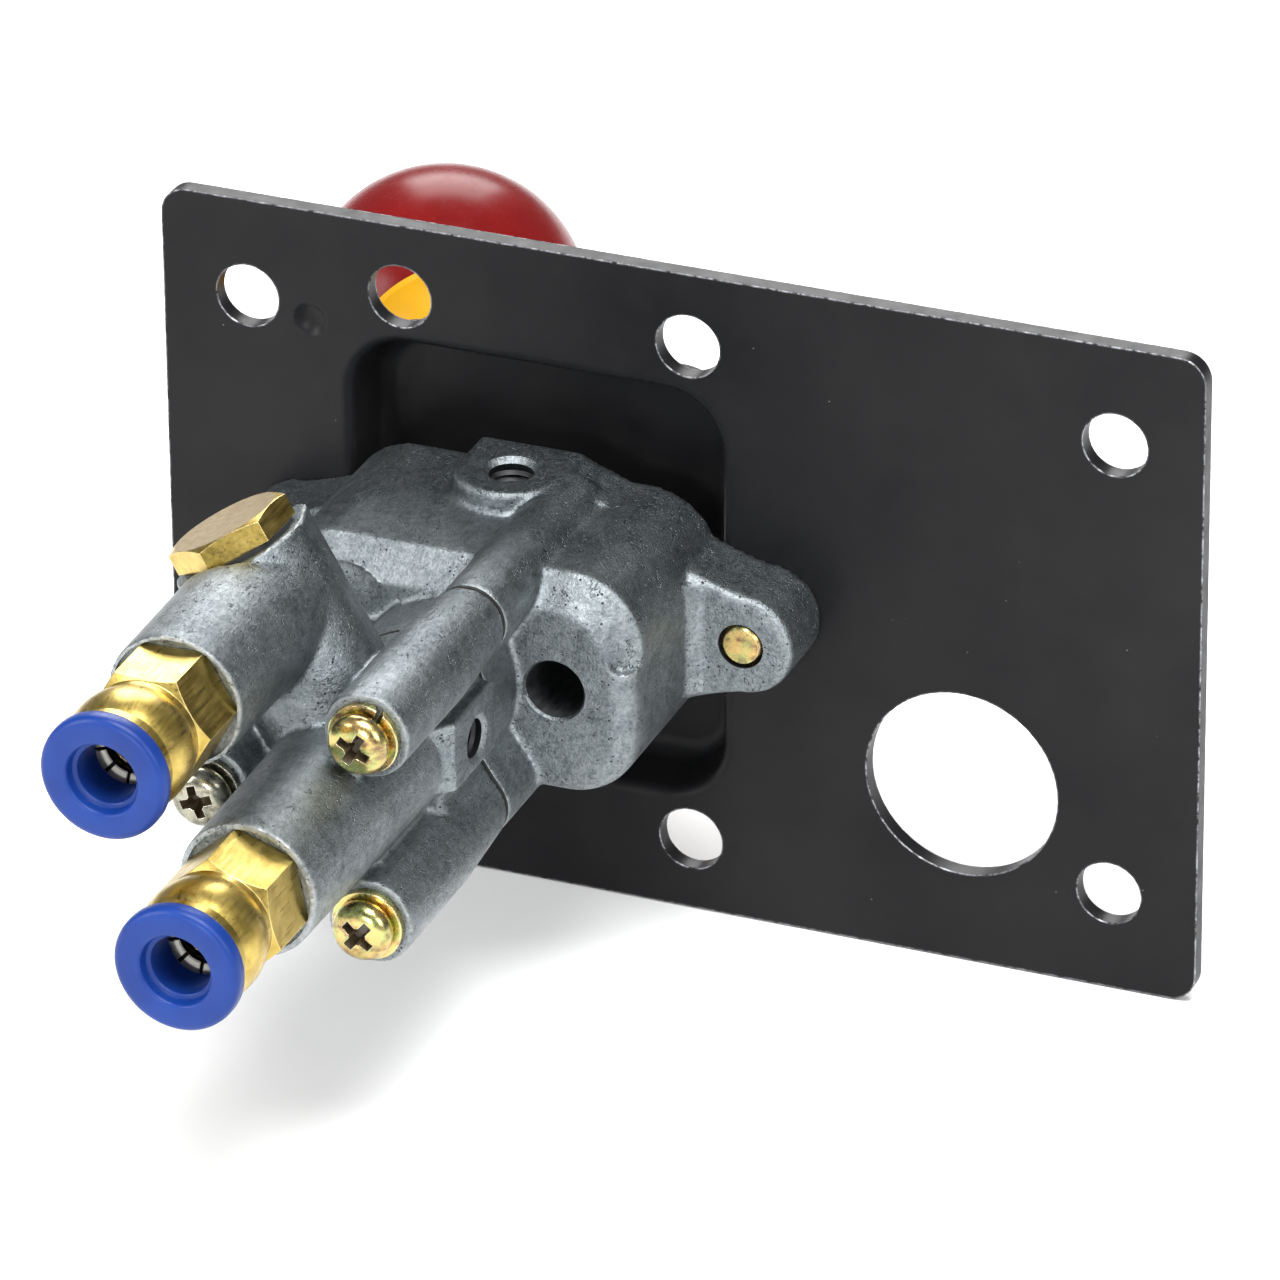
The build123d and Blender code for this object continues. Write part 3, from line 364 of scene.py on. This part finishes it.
# moulded plastics and rubber share one recipe, each with its own numbers
plasticLooks = {
    "blueCollar": dict(base=(0.003, 0.023, 0.150), tint=(0.004, 0.030, 0.185), rough=(0.34, 0.46), gloss=0.25,
                       grain=0.6, depth=0.008),
    "redKnob": dict(base=(0.115, 0.004, 0.004), tint=(0.13, 0.005, 0.005), rough=(0.22, 0.30), gloss=0.13,
                    grain=1.6, depth=0.002),
    # pale cream colour on the steel teeth is a painted highlight for their glints
    "paleTeeth": dict(base=(0.70, 0.66, 0.55), tint=(0.85, 0.82, 0.72), rough=(0.25, 0.4), gloss=0.6,
                      grain=0.5, depth=0.005),
    # a dark brown colour for the faces inside the screws' cross recesses
    "darkRecessFill": dict(base=(0.020, 0.013, 0.007), tint=(0.085, 0.060, 0.030), rough=(0.25, 0.45), gloss=0.7,
                        grain=0.5, depth=0.02),
    "yellowCollar": dict(base=(0.44, 0.222, 0.002), tint=(0.49, 0.25, 0.004), rough=(0.32, 0.44), gloss=0.2,
                         grain=0.9, depth=0.008),
    "sealRubber": dict(base=(0.006, 0.006, 0.006), tint=(0.014, 0.014, 0.014), rough=(0.5, 0.7), gloss=0.3,
                       grain=0.4, depth=0.02),
}
plasticCloud = dict(size=5, span=(0.35, 0.65))


def plasticFinish(name):
    look = plasticLooks[name]
    finish, tree, shader, place = newFinish(name)
    cloud = noise(tree, place, plasticCloud["size"], detail=3)
    grain = noise(tree, place, look["grain"], detail=3, rough=0.6)
    colour = blendColour(tree, span(tree, cloud, *plasticCloud["span"]), look["base"], look["tint"])
    shader.inputs["Specular IOR Level"].default_value = look["gloss"]
    rough = span(tree, grain, *middle, *look["rough"])
    finishWith(tree, shader, colour, rough, relief(tree, grain, look["depth"], strength=0.6))
    return finish


finishes = {
    "plate_coat": plateFinish(),
    "casting": castingFinish(),
    "bore": shadedBoreFinish(),
    "brass": brassFinish("brightBrass"),
    "plated_screw": screwFinish("yellowZinc", yellowLook),
    "greyScrew": screwFinish("greyZinc", greyLook),
    "recess": plasticFinish("darkRecessFill"),
    "steel": steelFinish(),
    "seal_rubber": plasticFinish("sealRubber"),
    "blue_collar": plasticFinish("blueCollar"),
    "red_knob": plasticFinish("redKnob"),
    "teeth": plasticFinish("paleTeeth"),
    "yellow_collar": plasticFinish("yellowCollar"),
}
for node in nodes.values():
    slotName = node.data.materials[0].name.split(".")[0]
    node.data.materials.clear()
    node.data.materials.append(finishes[slotName])
plugTop = (0.5, 0.0, math.sqrt(0.75))     # the way the hexagon plug faces
nodes["hex_plug"].data.materials[0] = brassFinish("plugBrass", plugTop)
print("finishes made:", len(finishes))


# the valve's own directions: across to the right as seen from the rear, up, and out to the rear
valveX = 16.4


def spot(across, up, out):
    return Vector((valveX - across, out, up)) * mm


def way(across, up, out):
    return Vector((-across, out, up)).normalized()


upwards = way(0, 1, 0)
sideways = way(1, 0, 0)
rear = way(0, 0, 1)
drawn = Vector((0, 0, 1))     # a piece that is turned later is drawn standing up


def pick(piece):
    bpy.ops.object.select_all(action="DESELECT")
    piece.select_set(True)
    bpy.context.view_layer.objects.active = piece


def settle(piece, angle=None):
    pick(piece)
    bpy.ops.object.transform_apply(location=True, rotation=True, scale=True)
    if angle:
        bpy.ops.object.shade_smooth_by_angle(angle=math.radians(angle))


def shaped(piece, kind, **values):
    pick(piece)
    modifier = piece.modifiers.new(kind, kind)
    for name, value in values.items():
        setattr(modifier, name, value)
    bpy.ops.object.modifier_apply(modifier=modifier.name)


# stands a piece drawn upwards at its place, looking along heading
def stand(piece, place, heading):
    piece.rotation_euler = heading.to_track_quat("Z", "Y").to_euler()
    piece.location = place


# a turned piece drawn out ring by ring along heading; rings are pairs of radius and distance in millimetres
def turned(rings, begin, heading, sides=72, hollow=False):
    firstRadius, first = rings[0]
    bpy.ops.mesh.primitive_circle_add(vertices=sides, radius=firstRadius * mm, location=(0, 0, first * mm),
                                      fill_type="NOTHING" if hollow else "NGON")
    piece = bpy.context.object
    bpy.ops.object.mode_set(mode="EDIT")
    bpy.ops.mesh.select_mode(type="VERT")
    bpy.ops.mesh.select_all(action="SELECT")
    for (radius, low), (nextRadius, high) in zip(rings, rings[1:]):
        bpy.ops.mesh.extrude_region_move(TRANSFORM_OT_translate={"value": (0, 0, (high - low) * mm)})
        growth = nextRadius / radius
        if growth != 1:
            bpy.ops.transform.resize(value=(growth, growth, 1), center_override=(0, 0, high * mm))
    bpy.ops.mesh.select_all(action="SELECT")
    bpy.ops.mesh.remove_doubles(threshold=1e-6)
    bpy.ops.mesh.normals_make_consistent(inside=False)
    bpy.ops.object.mode_set(mode="OBJECT")
    stand(piece, begin + heading * (first * mm), heading)
    settle(piece)
    return piece


def bar(radius, begin, heading, length):
    return turned([(radius, 0), (radius, length)], begin, heading)


# a plug or a bore is its radius, where it begins and its length, here along each of the valve's own directions
def along(size, across=0, up=0):
    radius, begin, length = size
    return radius, spot(across, up, begin), rear, length


def aloft(size, out):
    radius, begin, length = size
    return radius, spot(0, begin, out), upwards, length


def aside(size, out):
    radius, begin, length = size
    return radius, spot(begin, 0, out), sideways, length


# rings of a tapped hole, wide and narrow in turn
def threadRings(radius, low, high, pitch, depth):
    rings = []
    for i in range(int((high - low) / pitch)):
        rings += [(radius, low + i * pitch), (radius + depth, low + (i + 0.5) * pitch)]
    return rings + [(radius, high)]


def chooseFaces(piece, test):
    pick(piece)
    bpy.ops.object.mode_set(mode="EDIT")
    bpy.ops.mesh.select_mode(type="FACE")
    bpy.ops.mesh.select_all(action="DESELECT")
    bpy.ops.object.mode_set(mode="OBJECT")
    for face in piece.data.polygons:
        face.select = test(face)
    bpy.ops.object.mode_set(mode="EDIT")


def block(size, place, turn):
    bpy.ops.mesh.primitive_cube_add(size=mm, location=place, rotation=turn, scale=size)
    piece = bpy.context.object
    settle(piece)
    return piece


def cutBy(piece, tool, solver="EXACT"):
    shaped(piece, "BOOLEAN", operation="DIFFERENCE", object=tool, solver=solver)
    bpy.data.objects.remove(tool)


pieceSmoothAngle = 35


def dressed(piece, name, slotName, body, nodeName):
    piece.name = name
    piece.data.name = name
    piece.data.materials.clear()
    piece.data.materials.append(finishes[slotName])
    settle(piece, pieceSmoothAngle)
    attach(piece, body)
    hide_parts(nodeName)


def joined(parts):
    bpy.ops.object.select_all(action="DESELECT")
    for part in parts:
        part.select_set(True)
    bpy.context.view_layer.objects.active = parts[0]
    bpy.ops.object.join()
    return bpy.context.object


def copyOf(nodeName, pieceName):
    pick(nodes[nodeName])
    bpy.ops.object.duplicate()
    piece = bpy.context.object
    bpy.ops.object.parent_clear(type="CLEAR_KEEP_TRANSFORM")
    piece.name = pieceName
    piece.data.name = pieceName
    bpy.ops.object.mode_set(mode="EDIT")
    bpy.ops.mesh.select_all(action="SELECT")
    bpy.ops.mesh.remove_doubles(threshold=1e-6)
    bpy.ops.object.mode_set(mode="OBJECT")
    return piece


# writes how sharply the skin bends at each point: above 0 on edges, below 0 in corners
def markBends(piece, reach):
    mesh = piece.data
    count = len(mesh.vertices)
    points = numpy.empty(count * 3)
    mesh.vertices.foreach_get("co", points)
    points = points.reshape(-1, 3)
    normals = numpy.empty(count * 3)
    mesh.vertices.foreach_get("normal", normals)
    normals = normals.reshape(-1, 3)
    edges = numpy.empty(len(mesh.edges) * 2, dtype=numpy.int32)
    mesh.edges.foreach_get("vertices", edges)
    one, two = edges.reshape(-1, 2).T
    step = points[two] - points[one]
    long = numpy.maximum(numpy.linalg.norm(step, axis=1), 1e-9)
    drop = (step * normals[two]).sum(1) / long - (step * normals[one]).sum(1) / long
    links = numpy.maximum(numpy.bincount(one, minlength=count) + numpy.bincount(two, minlength=count), 1)
    bend = (numpy.bincount(one, drop, count) + numpy.bincount(two, drop, count)) / links
    for i in range(reach):
        around = numpy.bincount(one, bend[two], count) + numpy.bincount(two, bend[one], count)
        bend = 0.5 * bend + 0.5 * around / links
    layer = mesh.attributes.new("bend", "FLOAT", "POINT")
    layer.data.foreach_set("value", bend)


# places that the castings share: three screw columns in a circle, and the cross boss that leans to the left
screwCircle = 12.7
screwAngles = [math.radians(angle) for angle in (60, 180, 300)]
screwPlaces = [(screwCircle * math.cos(angle), screwCircle * math.sin(angle)) for angle in screwAngles]
screwEnds = (60.8, 58.6, 60.8)
crossWay = (math.cos(math.radians(120)), math.sin(math.radians(120)))
deliveryReach = 20.1
deliveryPlace = (deliveryReach * crossWay[0], deliveryReach * crossWay[1])
supplyMouth = spot(0, 0, 77.3)
deliveryMouth = spot(*deliveryPlace, 72)


# casting skins: closed up, melted into one rounded surface, then machined again
skinLook = dict(voxel=0.33, passes=4, smooth=0.5, bendReach=2, smoothAngle=40)


def castSkin(nodeName, pieceName, plugs, cutters, bores):
    skin = joined([copyOf(nodeName, pieceName)] + plugs)
    shaped(skin, "REMESH", mode="VOXEL", voxel_size=skinLook["voxel"] * mm)
    shaped(skin, "SMOOTH", factor=skinLook["smooth"], iterations=skinLook["passes"])
    cutBy(skin, joined(cutters), solver="MANIFOLD")
    markBends(skin, skinLook["bendReach"])
    skin.data.materials.clear()
    skin.data.materials.append(finishes["casting"])
    skin.data.materials.append(finishes["bore"])
    # faces inside the drilled ports take the near-black finish, painted shade inside the holes
    for face in skin.data.polygons:
        for radius, begin, heading, length in bores:
            apart = face.center - begin
            deep = apart.dot(heading)
            if 0 < deep < length * mm and (apart - heading * deep).length < radius * mm:
                face.material_index = 1
    settle(skin, skinLook["smoothAngle"])
    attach(skin, "valve")
    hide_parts(nodeName)
    print(pieceName, "faces", len(skin.data.polygons))


# front casting
bodyLook = dict(
    chamberPlug=(6.7, 31, 2), guidePlug=(4.4, 14, 3), screwPlug=(2.3, 31, 2),
    earAcross=27.4, earPlug=(2.8, 0, 9), earHole=(2.6, 6.5, 4), earBore=(2.65, 6, 2.8),
    earFillet=(1.9, 1.9, 13.4), filletAcross=21.5, filletOut=9,
    rearPortAcross=12.6, rearPlug=(3.5, 14, 11.5), rearPort=[(3.35, 0), (3.35, 10.7), (3.6, 11), (3.6, 13)],
    rearPortOut=14.5, rearBore=(3.4, 14, 10.9),
    ventOut=6.6, ventPlug=(2.7, 8, 7.2), ventBore=(2.95, 5.5, 8.9),
    vent=[(1.5, 6), (1.5, 9.2)] + threadRings(2.45, 9.25, 14.6, 0.8, 0.35) + [(3.1, 15.2), (3.1, 17)])


def makeBodySkin():
    look = bodyLook
    sides = (-1, 1)
    ears = [side * look["earAcross"] for side in sides]
    ventOut, portAcross = look["ventOut"], look["rearPortAcross"]
    plugs = [bar(*along(look["chamberPlug"])), bar(*along(look["guidePlug"])),
             bar(*aloft(look["ventPlug"], ventOut)), bar(*along(look["rearPlug"], portAcross))]
    plugs += [bar(*along(look["screwPlug"], x, y)) for x, y in screwPlaces]
    plugs += [bar(*along(look["earPlug"], ear)) for ear in ears]
    for side in sides:
        corner = spot(side * look["filletAcross"], 0, look["filletOut"])
        plugs += [block(look["earFillet"], corner, (0, 0, math.pi / 4))]
    cutters = [turned(look["vent"], spot(0, 0, ventOut), upwards),
               turned(look["rearPort"], spot(portAcross, 0, look["rearPortOut"]), rear)]
    cutters += [bar(*along(look["earHole"], ear)) for ear in ears]
    bores = [aloft(look["ventBore"], ventOut), along(look["rearBore"], portAcross)]
    bores += [along(look["earBore"], ear) for ear in ears]
    castSkin("valve_body", "bodySkin", plugs, cutters, bores)


# rear casting
capLook = dict(
    chamberPlug=(6.7, 33.5, 2), screwPlugRadius=2.3, supplyPlug=(7.2, 64, 13.3), deliveryPlug=(7.2, 59, 13),
    crossRadius=5.2, crossBegin=20, crossLength=6.6, crossOut=48,
    padOut=38.4, padPlug=(2.4, 5, 4.2), padBore=(2.6, 6, 2.8),
    pad=threadRings(2.15, 6.1, 8.8, 0.75, 0.35) + [(2.7, 9.2), (2.7, 11)],
    mouth=[(5.0, -8), (5.0, -0.6), (7.05, -0.6), (7.05, 2)],
    supplyBore=(5.1, 69, 8.2), deliveryBore=(5.1, 63.5, 8.4))


def makeCapSkin():
    look = capLook
    split = look["chamberPlug"][1]
    crossPlace = [look["crossBegin"] * share for share in crossWay]
    crossBegin = spot(*crossPlace, look["crossOut"])
    plugs = [bar(*along(look["chamberPlug"])), bar(*along(look["supplyPlug"])),
             bar(*along(look["deliveryPlug"], *deliveryPlace)),
             bar(look["crossRadius"], crossBegin, way(*crossWay, 0), look["crossLength"]),
             bar(*aside(look["padPlug"], look["padOut"]))]
    plugs += [bar(look["screwPlugRadius"], spot(x, y, split), rear, end - split)
              for (x, y), end in zip(screwPlaces, screwEnds)]
    cutters = [turned(look["mouth"], supplyMouth, rear), turned(look["mouth"], deliveryMouth, rear),
               turned(look["pad"], spot(0, 0, look["padOut"]), sideways)]
    bores = [along(look["supplyBore"]), along(look["deliveryBore"], *deliveryPlace),
             aside(look["padBore"], look["padOut"])]
    castSkin("rear_cap", "capSkin", plugs, cutters, bores)


makeBodySkin()
makeCapSkin()
print("casting skins made")


# cap screws: a domed pan head with a cross recess that narrows downwards, on a split washer
headLook = dict(
    dome=[(2.7, 0), (3.16, 0.3), (3.3, 0.5), (3.3, 1.15), (3.22, 1.5), (3.02, 1.86), (2.65, 2.18), (2.1, 2.4),
          (1.3, 2.55), (0.3, 2.6)],
    recess=2.4, recessWidth=1.3, recessDepth=1.8, armHeight=3, taper=0.5, bottomFacing=-0.9, turns=(-28, 20, -40),
    centre=[(0.3, 0.8), (0.65, 1.3), (0.98, 2.7), (1.15, 3.2)], darkRadius=2.3, darkLow=0.6, darkHigh=2.3,
    shankRadius=2.0, shankLength=36, shankOverlap=0.2, greyOne=1)
washerLook = dict(inner=2.25, outer=3.95, height=0.9, innerRound=0.08, outerRound=0.1,
                  slit=0.75, slitHeight=4, slitSpare=1, slant=28, places=(62, 150, 215))


def makeCapScrew(index, x, y, end):
    look = headLook
    screw = turned(look["dome"], Vector(), drawn)
    top = look["dome"][-1][1]
    for quarter in (0, 90):
        arm = block((2 * look["recess"], look["recessWidth"], look["armHeight"]),
                    (0, 0, (top + look["armHeight"] / 2 - look["recessDepth"]) * mm),
                    (0, 0, math.radians(look["turns"][index] + quarter)))
        chooseFaces(arm, lambda face: face.normal.z < look["bottomFacing"])
        bpy.ops.transform.resize(value=(look["taper"], look["taper"], 1))
        bpy.ops.object.mode_set(mode="OBJECT")
        cutBy(screw, arm)
    cutBy(screw, turned(look["centre"], Vector(), drawn))
    shank = bar(look["shankRadius"], drawn * (-look["shankLength"] * mm), drawn,
                look["shankLength"] + look["shankOverlap"])
    screw = joined([screw, shank])
    # faces inside the cross recess get the dark brown colour
    inRecess = [face.index for face in screw.data.polygons
                if look["darkLow"] * mm < face.center.z < look["darkHigh"] * mm
                and Vector(face.center[:2]).length < look["darkRadius"] * mm]
    stand(screw, spot(x, y, end + washerLook["height"]), rear)
    dressed(screw, "capScrew" + str(index + 1), "plated_screw", "valve", "cap_screws")
    if index == look["greyOne"]:
        screw.data.materials[0] = finishes["greyScrew"]
    screw.data.materials.append(finishes["recess"])
    for face in inRecess:
        screw.data.polygons[face].material_index = 1


def makeWasher(index, x, y, end):
    look = washerLook
    inner, outer, high = look["inner"], look["outer"], look["height"]
    small, large = look["innerRound"], look["outerRound"]
    loop = [(inner, small), (inner + small, 0), (outer - large, 0), (outer, large), (outer, high - large),
            (outer - large, high), (inner + small, high), (inner, high - small), (inner, small)]
    washer = turned(loop, Vector(), drawn, hollow=True)
    angle = math.radians(look["places"][index])
    ring = (inner + outer) / 2 * mm
    cutBy(washer, block((outer - inner + look["slitSpare"], look["slit"], look["slitHeight"]),
                        (ring * math.cos(angle), ring * math.sin(angle), high * mm / 2),
                        (math.radians(look["slant"]), 0, angle)))
    stand(washer, spot(x, y, end), rear)
    dressed(washer, "lockWasher" + str(index + 1), "plated_screw", "valve", "cap_lock_washers")
    if index == headLook["greyOne"]:
        washer.data.materials[0] = finishes["greyScrew"]


for index, ((x, y), end) in enumerate(zip(screwPlaces, screwEnds)):
    makeCapScrew(index, x, y, end)
    makeWasher(index, x, y, end)
print("cap screws and washers made")


# blue release collars with a rounded rim and a step inside, and the teeth below them
collarLook = dict(sides=96, loop=[
    (3.3, 12.2), (4.7, 12.2), (4.7, 15.9), (6.55, 15.9), (6.85, 16.02), (7.0, 16.35), (7.0, 17.25),
    (6.93, 17.6), (6.75, 17.86), (6.45, 18.04), (6.1, 18.1), (4.35, 18.1), (4.12, 18.04),
    (3.96, 17.86), (3.9, 17.6), (3.88, 16.9), (3.8, 16.78), (3.45, 16.7), (3.34, 16.62), (3.3, 16.4), (3.3, 12.2)])
teethLook = dict(
    loop=[(5.35, 10.56), (5.35, 10.98), (4.3, 10.98), (3.05, 10.72), (3.0, 10.5), (4.3, 10.56), (5.35, 10.56)],
    sides=80, count=10, slot=0.42, reach=4.5, slotOut=10.8, slotHeight=3, firstAngle=0.2)


def makePushIn(port, mouth):
    collar = turned(collarLook["loop"], mouth, rear, sides=collarLook["sides"], hollow=True)
    dressed(collar, port + "Collar", "blue_collar", port + "_release", port + "_release_collar")
    look = teethLook
    teeth = turned(look["loop"], Vector(), drawn, sides=look["sides"], hollow=True)
    for i in range(look["count"] // 2):
        angle = math.pi * 2 * i / look["count"] + look["firstAngle"]
        cutBy(teeth, block((2 * look["reach"], look["slot"], look["slotHeight"]), (0, 0, look["slotOut"] * mm),
                           (0, 0, angle)))
    stand(teeth, mouth, rear)
    dressed(teeth, port + "Teeth", "steel", "valve", port + "_gripper_ring")
    # the teeth take the pale cream colour, a painted highlight for the glints on the steel
    teeth.data.materials[0] = finishes["teeth"]


makePushIn("supply", supplyMouth)
makePushIn("delivery", deliveryMouth)
print("collars and teeth made")


# camera at the photograph's angle
cameraView = dict(place=(-0.38428, 0.94446, 0.53162), turn=(1.0858059, 0.0080444, -2.7554786), lens=299.13,
                  sensor=36, nearest=0.05, farthest=20)


def makeCamera():
    bpy.ops.object.camera_add(location=cameraView["place"], rotation=cameraView["turn"])
    camera = bpy.context.object
    camera.name = "photoCamera"
    camera.data.lens = cameraView["lens"]
    camera.data.sensor_width = cameraView["sensor"]
    camera.data.clip_start = cameraView["nearest"]
    camera.data.clip_end = cameraView["farthest"]
    bpy.context.scene.camera = camera


# pale floor just below the part, a faint white surround, and soft boxes
floorLook = dict(colour=(0.88, 0.88, 0.88), rough=0.9, gloss=0.1, size=6.0, gap=0.2)
surroundLight = 0.3
lamps = {
    "overhead": dict(place=(-0.15, 0.25, 0.85), aim=(0, 0.03, 0), size=(0.55, 0.45), watts=13.5),
    "cameraLeft": dict(place=(0.75, 0.75, 0.45), aim=(0, 0.03, 0), size=(0.35, 0.6), watts=8.0),
    "cameraRight": dict(place=(-0.9, 0.45, 0.5), aim=(0, 0.02, 0), size=(0.5, 0.5), watts=6.0),
    "rearFill": dict(place=(-0.05, 1.3, 0.28), aim=(0, 0.06, 0), size=(0.22, 0.22), watts=6.0),
    "front": dict(place=(0.3, -0.8, 0.6), aim=(0, 0, 0), size=(0.6, 0.6), watts=10.0),
}


def makeFloor():
    low = min(corner[2] for corner in cadBounds)
    bpy.ops.mesh.primitive_plane_add(size=floorLook["size"], location=(0, 0, low - floorLook["gap"] * mm))
    floor = bpy.context.object
    floor.name = "floor"
    finish = bpy.data.materials.new("paleFloor")
    finish.use_nodes = True
    shader = finish.node_tree.nodes["Principled BSDF"]
    shader.inputs["Base Color"].default_value = (*floorLook["colour"], 1)
    shader.inputs["Roughness"].default_value = floorLook["rough"]
    shader.inputs["Specular IOR Level"].default_value = floorLook["gloss"]
    floor.data.materials.append(finish)


def makeLights():
    world = bpy.data.worlds.new("studio")
    bpy.context.scene.world = world
    world.use_nodes = True
    back = world.node_tree.nodes["Background"]
    back.inputs["Color"].default_value = (1, 1, 1, 1)
    back.inputs["Strength"].default_value = surroundLight
    for name, lamp in lamps.items():
        aim = Vector(lamp["aim"]) - Vector(lamp["place"])
        bpy.ops.object.light_add(type="AREA", location=lamp["place"],
                                 rotation=aim.to_track_quat("-Z", "Y").to_euler())
        light = bpy.context.object
        light.name = name
        light.data.shape = "RECTANGLE"
        light.data.size, light.data.size_y = lamp["size"]
        light.data.energy = lamp["watts"]


makeCamera()
makeFloor()
makeLights()
bpy.context.scene.view_settings.view_transform = "Standard"
print("camera and stage made")
